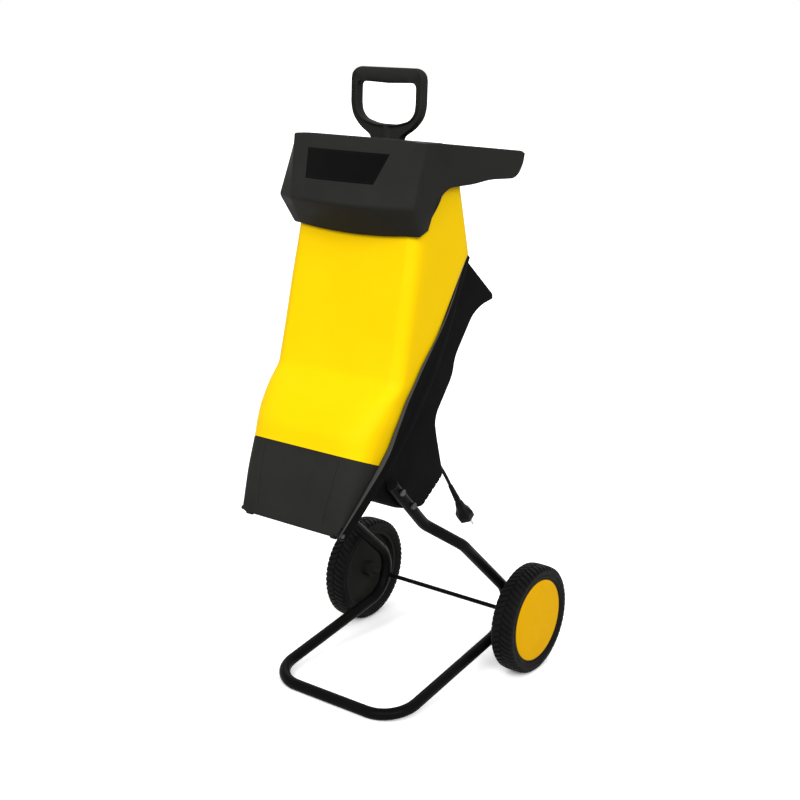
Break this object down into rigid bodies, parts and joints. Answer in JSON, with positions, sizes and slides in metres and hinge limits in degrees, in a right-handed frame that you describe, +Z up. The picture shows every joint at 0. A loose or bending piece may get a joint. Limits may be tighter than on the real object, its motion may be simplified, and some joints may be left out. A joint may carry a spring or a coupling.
{
  "type": "electric garden shredder",
  "caption": "Upright electric garden shredder on a bent-tube wheeled frame: tipping feed housing with hood and pusher, cutter disc on an inclined motor, locking knob, switch and mains lead.",
  "frame": {"origin": "on the floor, under the middle of the machine's width and depth", "axes": "+Z up, the front with the panel towards -Y, X along the wheel axle"},
  "size_m": [0.424, 0.556, 1.0721],
  "materials": {
    "yellow_plastic": "moulded, satin gloss",
    "black_plastic": "fine moulded grain",
    "dark_plastic": "smooth moulded",
    "soft_grip": "matt soft grip",
    "tyre_rubber": "matt",
    "tube_paint": "gloss black",
    "steel": "bright",
    "motor_steel": "zinc grey",
    "copper": "enamelled wire",
    "brass": "turned",
    "carbon": "pressed graphite",
    "plate_black": "blank label field",
    "green_button": "gloss",
    "red_button": "gloss",
    "black_button": "gloss"
  },
  "bodies": {
    "chassis": {"frame_tube": "tube_paint", "tube_caps": "black_plastic", "leg_bolts": "steel", "axle_rod": "tube_paint", "axle_spacers": "black_plastic", "axle_nuts": "steel", "rear_shell": "black_plastic", "hinge_pins": "steel", "chamber_plate": "steel", "plate_screws": "steel", "front_bearing": "steel", "rear_bearing": "steel", "motor_can": "motor_steel", "motor_bracket": "steel", "stator_core": "motor_steel", "field_coils": "copper", "brush_holders": "dark_plastic", "carbon_brushes": "carbon", "suppressor": "dark_plastic", "switch_bezel": "dark_plastic", "switch_case": "dark_plastic", "cable_gland": "soft_grip", "power_cord": "soft_grip", "plug_body": "soft_grip", "plug_pins": "steel"},
    "wheel_right": {"tyre_right": "tyre_rubber", "hub_right": "black_plastic", "cap_right": "yellow_plastic"},
    "wheel_left": {"tyre_left": "tyre_rubber", "hub_left": "black_plastic", "cap_left": "yellow_plastic"},
    "cutter": {"motor_shaft": "steel", "armature": "motor_steel", "armature_windings": "copper", "commutator": "brass", "cooling_fan": "dark_plastic", "cutter_disc": "steel", "cutter_blades": "steel", "blade_screws": "steel", "disc_clamp": "steel", "disc_bolt": "steel"},
    "feed_housing": {"front_housing": "yellow_plastic", "discharge_panel": "black_plastic", "feed_deflector": "steel", "counter_blade": "steel", "counter_screws": "steel", "lock_insert": "brass", "top_hood": "black_plastic", "handle_grip": "soft_grip", "hood_screws": "steel", "rating_plate": "plate_black", "feed_throat": "dark_plastic"},
    "pusher": {"pusher_body": "dark_plastic", "pusher_handle": "black_plastic"},
    "lock_slide": {"lock_washer": "steel"},
    "lock_knob": {"lock_knob": "black_plastic", "lock_screw": "steel"},
    "start_button": {"start_button": "green_button"},
    "stop_button": {"stop_button": "red_button"},
    "reset_button": {"reset_button": "black_button"}
  },
  "joints": [
    {"name": "wheel_right_roll", "type": "hinge", "parent": "chassis", "child": "wheel_right", "pos_m": [0.19, 0.178, 0.1], "axis": [1, 0, 0], "continuous": true},
    {"name": "wheel_left_roll", "type": "hinge", "parent": "chassis", "child": "wheel_left", "pos_m": [-0.19, 0.178, 0.1], "axis": [1, 0, 0], "continuous": true},
    {"name": "cutter_spin", "type": "hinge", "parent": "chassis", "child": "cutter", "pos_m": [0, -0.167, 0.501], "axis": [0, 0.7986, -0.6018], "continuous": true},
    {"name": "housing_tip", "type": "hinge", "parent": "chassis", "child": "feed_housing", "pos_m": [0, -0.26691, 0.36343], "axis": [1, 0, 0], "range_deg": [0, 55]},
    {"name": "pusher_lift", "type": "slide", "parent": "feed_housing", "child": "pusher", "axis": [0, 0, 1], "range_m": [0, 0.19]},
    {"name": "lock_travel", "type": "slide", "parent": "chassis", "child": "lock_slide", "axis": [0, 0.7986, -0.6018], "range_m": [0, 0.012]},
    {"name": "lock_turn", "type": "hinge", "parent": "lock_slide", "child": "lock_knob", "pos_m": [0, -0.02076, 0.69507], "axis": [0, 0.7986, -0.6018], "range_deg": [0, 1450]},
    {"name": "start_button_press", "type": "slide", "parent": "chassis", "child": "start_button", "axis": [0, -0.7986, 0.6018], "range_m": [0, 0.0035], "stiffness_N_per_m": 400},
    {"name": "stop_button_press", "type": "slide", "parent": "chassis", "child": "stop_button", "axis": [0, -0.7986, 0.6018], "range_m": [0, 0.0035], "stiffness_N_per_m": 400},
    {"name": "reset_button_press", "type": "slide", "parent": "chassis", "child": "reset_button", "axis": [0, -0.7986, 0.6018], "range_m": [0, 0.0035], "stiffness_N_per_m": 400}
  ],
  "couplings": [
    {"joint": "lock_turn", "follows": "lock_travel", "rad_per_m": 2094.4}
  ]
}
